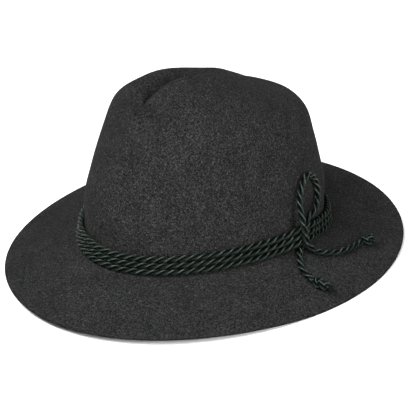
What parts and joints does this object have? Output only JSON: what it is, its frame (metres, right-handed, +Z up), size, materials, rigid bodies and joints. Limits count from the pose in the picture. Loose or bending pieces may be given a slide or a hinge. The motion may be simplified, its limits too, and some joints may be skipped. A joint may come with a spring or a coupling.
{
  "type": "tyrolean hat",
  "caption": "Soft wool felt hat with a tall creased and pinched crown, a sloping brim and rounds of twisted cord tied in a loop at the side.",
  "frame": {"origin": "centre of the bounding box of felt and rounds, at the surface that the hat rests on", "axes": "+Z up, -Y towards the front of the hat, +X towards the wearer's left, where the tie is"},
  "size_m": [0.2828, 0.3228, 0.1476],
  "materials": {
    "wool_felt": "charcoal melange wool felt, raw cut edge",
    "twisted_cord": "dark green twisted cord with a silky shine"
  },
  "bodies": {
    "root": {"felt_body": "wool_felt", "cord_round_lower": "twisted_cord", "cord_round_middle": "twisted_cord", "cord_round_upper": "twisted_cord", "tie_loop_and_rear_tail": "twisted_cord", "tie_front_tail": "twisted_cord", "rear_tail_knot": "twisted_cord", "front_tail_knot": "twisted_cord", "front_tail_end": "twisted_cord"}
  },
  "joints": []
}
